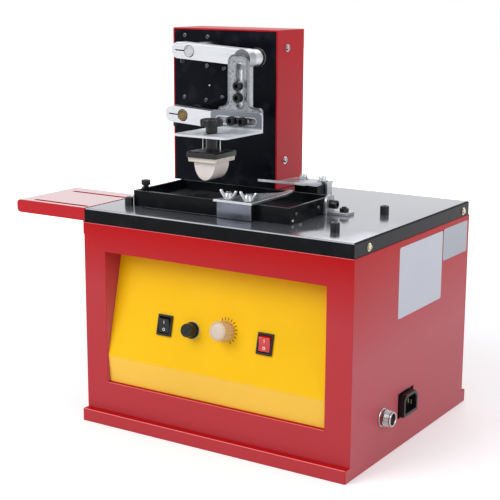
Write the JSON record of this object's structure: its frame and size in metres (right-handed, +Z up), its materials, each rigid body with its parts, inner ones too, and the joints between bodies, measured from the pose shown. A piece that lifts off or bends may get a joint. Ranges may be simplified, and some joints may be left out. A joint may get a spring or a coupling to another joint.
{
  "type": "pad printing machine",
  "caption": "Bench pad printing machine with an open ink tray, a sliding cup carriage and parallel arms that swing a silicone pad from the tray to a slotted side table.",
  "frame": {"origin": "centre of the underside of the base plinth", "axes": "+X to the right seen from the control panel, +Y to the back, +Z up"},
  "size_m": [0.4005, 0.2674, 0.385],
  "materials": {
    "red_paint": "semi-gloss powder coat",
    "yellow_panel": "satin",
    "black_paint": "gloss",
    "black_plastic": "moulded",
    "red_plastic": "gloss",
    "cream_plastic": "satin",
    "steel": "brushed",
    "black_steel": "black oxide",
    "cast_aluminium": "as cast",
    "brushed_aluminium": "brushed",
    "chrome": "polished",
    "brass": "machined",
    "wood": "bare",
    "silicone": "smooth",
    "etched_steel": "inked",
    "green_board": "solder mask"
  },
  "bodies": {
    "base": {"base_plinth": "red_paint", "case_shell": "red_paint", "side_table": "red_paint", "tower_shell": "red_paint", "control_panel": "yellow_panel", "left_switch": "black_plastic", "right_switch": "black_plastic", "fuse_holder": "black_plastic", "speed_pot": "steel", "mains_inlet": "black_plastic", "round_connector": "chrome", "lid": "black_paint", "tower_front_panel": "black_paint", "upper_bearing": "black_steel", "lower_bearing": "black_steel", "swing_motor": "black_steel", "ink_tray": "black_paint", "etched_plate": "etched_steel", "tray_clip": "steel", "left_rail_support": "black_steel", "right_rail_support": "black_steel", "rail_bolt_1": "black_plastic", "rail_bolt_2": "black_plastic", "rail_bolt_3": "black_plastic", "rail_bolt_4": "black_plastic", "front_rail": "steel", "rear_rail": "steel", "drive_motor": "black_steel", "control_board": "green_board"},
    "left_key": {"left_rocker": "black_plastic"},
    "right_key": {"right_rocker": "red_plastic"},
    "fuse_cap": {"fuse_cap": "black_plastic"},
    "speed_knob": {"speed_knob": "cream_plastic"},
    "tray_screw": {"tray_screw": "black_plastic"},
    "upper_arm": {"upper_shaft": "steel", "upper_arm": "brushed_aluminium", "upper_pin": "black_steel"},
    "lower_arm": {"lower_shaft": "brass", "lower_arm": "brushed_aluminium"},
    "swing_pinion": {"swing_pinion": "steel"},
    "head_link": {"link_bar": "brushed_aluminium", "lower_pin": "steel", "height_screw_1": "black_steel", "height_screw_2": "black_steel"},
    "height_slide": {"height_bracket": "cast_aluminium", "shift_screw_1": "black_steel", "shift_screw_2": "black_steel"},
    "shift_slide": {"shift_bracket": "steel"},
    "pad_slide": {"pad_holder": "black_steel", "pad_base": "wood", "printing_pad": "silicone"},
    "pad_knob": {"pad_knob": "black_plastic"},
    "carriage": {"carriage_frame": "brushed_aluminium", "front_cup_bracket": "steel", "rear_cup_block": "black_paint", "front_cup_arm": "steel", "rear_cup_arm": "steel"},
    "wing_nut_1": {"wing_nut_1": "steel"},
    "wing_nut_2": {"wing_nut_2": "steel"},
    "drive_pinion": {"drive_pinion": "steel"}
  },
  "joints": [
    {"name": "left_rocker_tip", "type": "hinge", "parent": "base", "child": "left_key", "pos_m": [-0.0595, -0.11395, 0.10923], "axis": [1, 0, 0], "range_deg": [-18, 0]},
    {"name": "right_rocker_tip", "type": "hinge", "parent": "base", "child": "right_key", "pos_m": [0.0545, -0.11395, 0.10923], "axis": [1, 0, 0], "range_deg": [-18, 0]},
    {"name": "fuse_cap_turn", "type": "hinge", "parent": "base", "child": "fuse_cap", "pos_m": [-0.0275, -0.11493, 0.10946], "axis": [0, 0.9739, -0.2268], "range_deg": [0, 90]},
    {"name": "speed_knob_turn", "type": "hinge", "parent": "base", "child": "speed_knob", "pos_m": [0.01, -0.11379, 0.11433], "axis": [0, 0.9739, -0.2268], "range_deg": [0, 300]},
    {"name": "tray_screw_turn", "type": "hinge", "parent": "base", "child": "tray_screw", "pos_m": [-0.1199, -0.0638, 0.2324], "axis": [0, 0, 1], "continuous": true},
    {"name": "arm_swing", "type": "hinge", "parent": "base", "child": "upper_arm", "pos_m": [-0.126, 0.028, 0.363], "axis": [0, -1, 0], "range_deg": [-12, 195]},
    {"name": "lower_arm_swing", "type": "hinge", "parent": "base", "child": "lower_arm", "pos_m": [-0.126, 0.0142, 0.2975], "axis": [0, -1, 0], "range_deg": [-12.5, 195.5]},
    {"name": "swing_pinion_turn", "type": "hinge", "parent": "base", "child": "swing_pinion", "pos_m": [-0.09975, 0.0877, 0.363], "axis": [0, -1, 0], "range_deg": [-261, 17]},
    {"name": "head_link_level", "type": "hinge", "parent": "upper_arm", "child": "head_link", "pos_m": [-0.05214, 0.0142, 0.35848], "axis": [0, -1, 0], "range_deg": [-195.5, 12.5]},
    {"name": "head_height", "type": "slide", "parent": "head_link", "child": "height_slide", "axis": [0, 0, 1], "range_m": [-0.004, 0.006]},
    {"name": "head_shift", "type": "slide", "parent": "height_slide", "child": "shift_slide", "axis": [1, 0, 0], "range_m": [-0.001, 0.014]},
    {"name": "pad_depth", "type": "slide", "parent": "shift_slide", "child": "pad_slide", "axis": [0, 1, 0], "range_m": [-0.004, 0.02]},
    {"name": "pad_knob_turn", "type": "hinge", "parent": "pad_slide", "child": "pad_knob", "pos_m": [-0.05474, -0.042, 0.2958], "axis": [0, 0, 1], "continuous": true},
    {"name": "carriage_slide", "type": "slide", "parent": "base", "child": "carriage", "axis": [1, 0, 0], "range_m": [-0.099, 0]},
    {"name": "drive_pinion_turn", "type": "hinge", "parent": "base", "child": "drive_pinion", "pos_m": [-0.038, -0.0215, 0.19], "axis": [0, 0, 1], "range_deg": [-474, 1]},
    {"name": "wing_nut_1_turn", "type": "hinge", "parent": "carriage", "child": "wing_nut_1", "pos_m": [-0.0028, -0.0903, 0.2355], "axis": [0, 0, 1], "continuous": true},
    {"name": "wing_nut_2_turn", "type": "hinge", "parent": "carriage", "child": "wing_nut_2", "pos_m": [0.0192, -0.0903, 0.2355], "axis": [0, 0, 1], "continuous": true}
  ],
  "couplings": [
    {"joint": "lower_arm_swing", "follows": "arm_swing", "ratio": 1},
    {"joint": "head_link_level", "follows": "arm_swing", "ratio": -1},
    {"joint": "swing_pinion_turn", "follows": "arm_swing", "ratio": -1.3333},
    {"joint": "drive_pinion_turn", "follows": "carriage_slide", "rad_per_m": 83.333}
  ]
}
